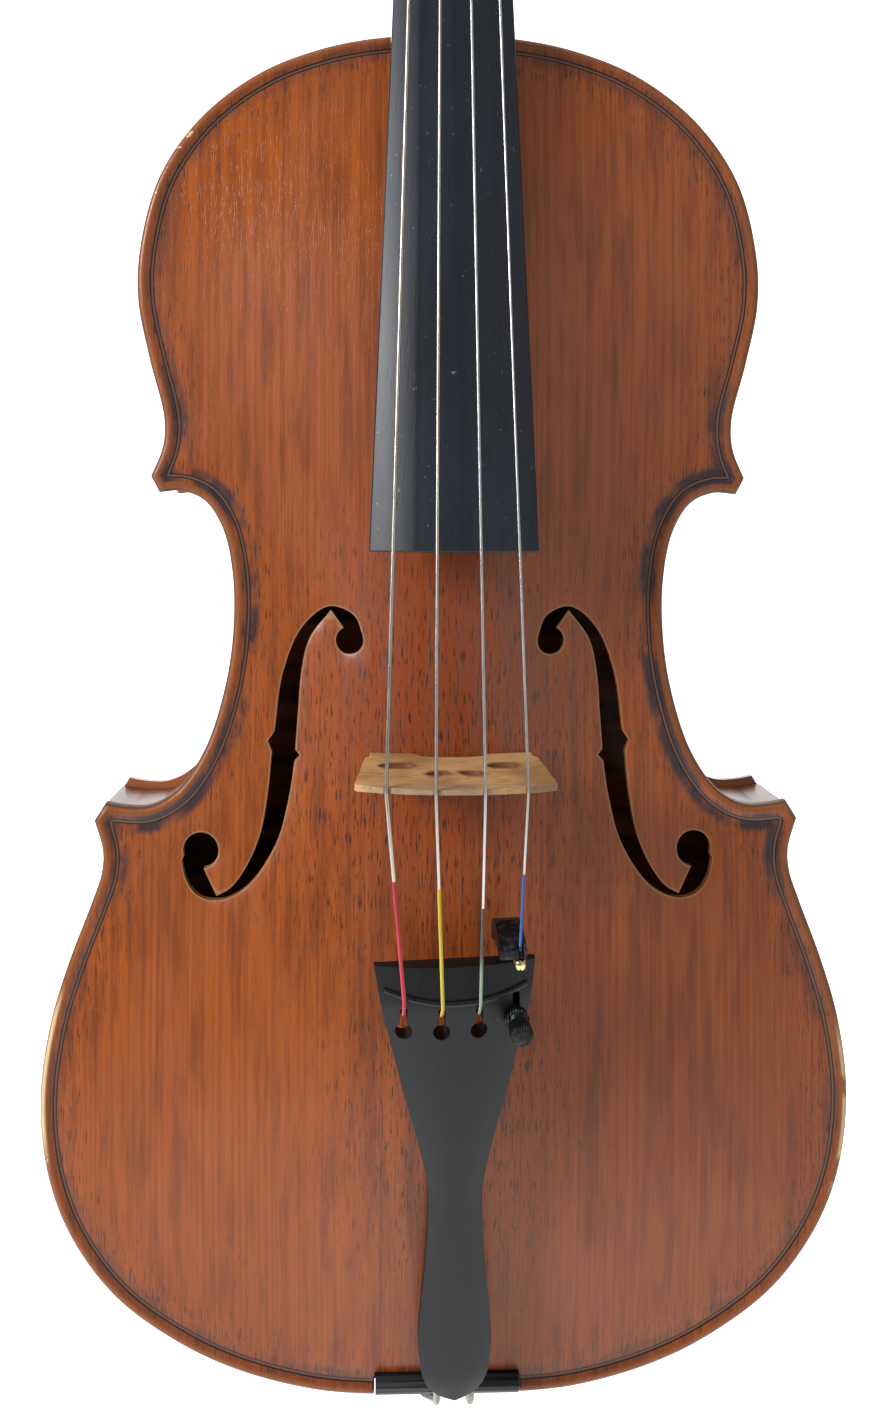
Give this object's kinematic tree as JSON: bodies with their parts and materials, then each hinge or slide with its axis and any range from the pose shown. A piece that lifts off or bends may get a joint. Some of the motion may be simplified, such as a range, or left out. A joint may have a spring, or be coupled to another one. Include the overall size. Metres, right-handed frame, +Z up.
{
  "type": "viola",
  "caption": "Four-stringed bowed instrument with an arched belly and back, waisted ribs, scroll head, pegs, bridge, tailpiece and one fine tuner.",
  "frame": {"origin": "the point where a hanging fork holds the instrument, inside the throat under the scroll", "axes": "+Z up from the end button to the scroll, -Y the way the belly faces, +X to the treble side"},
  "size_m": [0.2384, 0.1116, 0.6663],
  "materials": {
    "varnish": "glossy orange-brown varnish over spruce and maple",
    "inner_spruce": "bare planed spruce",
    "maple": "satin varnish",
    "bridge_maple": "bare scraped maple",
    "ebony": "polished black wood",
    "string_steel": "wound steel",
    "ball_brass": "satin",
    "tuner_black": "satin black",
    "tail_gut": "matt grey cord"
  },
  "bodies": {
    "instrument": {"top_plate": "varnish", "back_plate": "varnish", "bottom_rib": "maple", "neck": "maple", "upper_rib_bass": "maple", "upper_rib_treble": "maple", "middle_rib_bass": "maple", "middle_rib_treble": "maple", "top_lining_upper_bass": "inner_spruce", "top_lining_upper_treble": "inner_spruce", "top_lining_middle_bass": "inner_spruce", "top_lining_middle_treble": "inner_spruce", "top_lining_lower_bass": "inner_spruce", "top_lining_lower_treble": "inner_spruce", "back_lining_upper_bass": "inner_spruce", "back_lining_upper_treble": "inner_spruce", "back_lining_middle_bass": "inner_spruce", "back_lining_middle_treble": "inner_spruce", "back_lining_lower_bass": "inner_spruce", "back_lining_lower_treble": "inner_spruce", "upper_block_bass": "inner_spruce", "upper_block_treble": "inner_spruce", "lower_block_bass": "inner_spruce", "lower_block_treble": "inner_spruce", "neck_block": "inner_spruce", "end_block": "inner_spruce", "bass_bar": "inner_spruce", "sound_post": "inner_spruce", "top_purfling": "ebony", "back_purfling": "ebony", "fingerboard": "ebony", "nut": "ebony", "saddle": "ebony", "end_button": "ebony", "tailpiece": "ebony", "tailpiece_fret": "ebony", "bridge": "bridge_maple", "string_c": "string_steel", "string_g": "string_steel", "string_d": "string_steel", "string_a": "string_steel", "tuner_pin": "string_steel", "ball_c": "ball_brass", "ball_g": "ball_brass", "ball_d": "ball_brass", "tuner_bracket": "tuner_black", "tuner_ring_nut": "tuner_black", "tail_gut": "tail_gut"},
    "peg_c_turning": {"peg_c": "ebony", "winding_c": "string_steel"},
    "peg_g_turning": {"peg_g": "ebony", "winding_g": "string_steel"},
    "peg_d_turning": {"peg_d": "ebony", "winding_d": "string_steel"},
    "peg_a_turning": {"peg_a": "ebony", "winding_a": "string_steel"},
    "screw": {"tuner_screw": "tuner_black"},
    "lever": {"tuner_lever": "tuner_black", "ball_a": "ball_brass"}
  },
  "joints": [
    {"name": "peg_a_hinge", "type": "hinge", "parent": "instrument", "child": "peg_a_turning", "pos_m": [0, -0.0084, -0.0595], "axis": [1, 0, 0], "continuous": true},
    {"name": "peg_c_hinge", "type": "hinge", "parent": "instrument", "child": "peg_c_turning", "pos_m": [0, -0.0062, -0.045], "axis": [1, 0, 0], "continuous": true},
    {"name": "peg_d_hinge", "type": "hinge", "parent": "instrument", "child": "peg_d_turning", "pos_m": [0, -0.003, -0.0285], "axis": [1, 0, 0], "continuous": true},
    {"name": "peg_g_hinge", "type": "hinge", "parent": "instrument", "child": "peg_g_turning", "pos_m": [0, -0.0004, -0.014], "axis": [1, 0, 0], "continuous": true},
    {"name": "tuner_screw_slide", "type": "slide", "parent": "instrument", "child": "screw", "axis": [-0.0698, 0.9815, 0.1784], "range_m": [-0.0015, 0.0015]},
    {"name": "tuner_lever_hinge", "type": "hinge", "parent": "instrument", "child": "lever", "pos_m": [0.01619, -0.05152, -0.48463], "axis": [0.9975, 0.0668, 0.0228], "range_deg": [-6.9, 6.9]}
  ],
  "couplings": [
    {"joint": "tuner_lever_hinge", "follows": "tuner_screw_slide", "rad_per_m": 80}
  ]
}
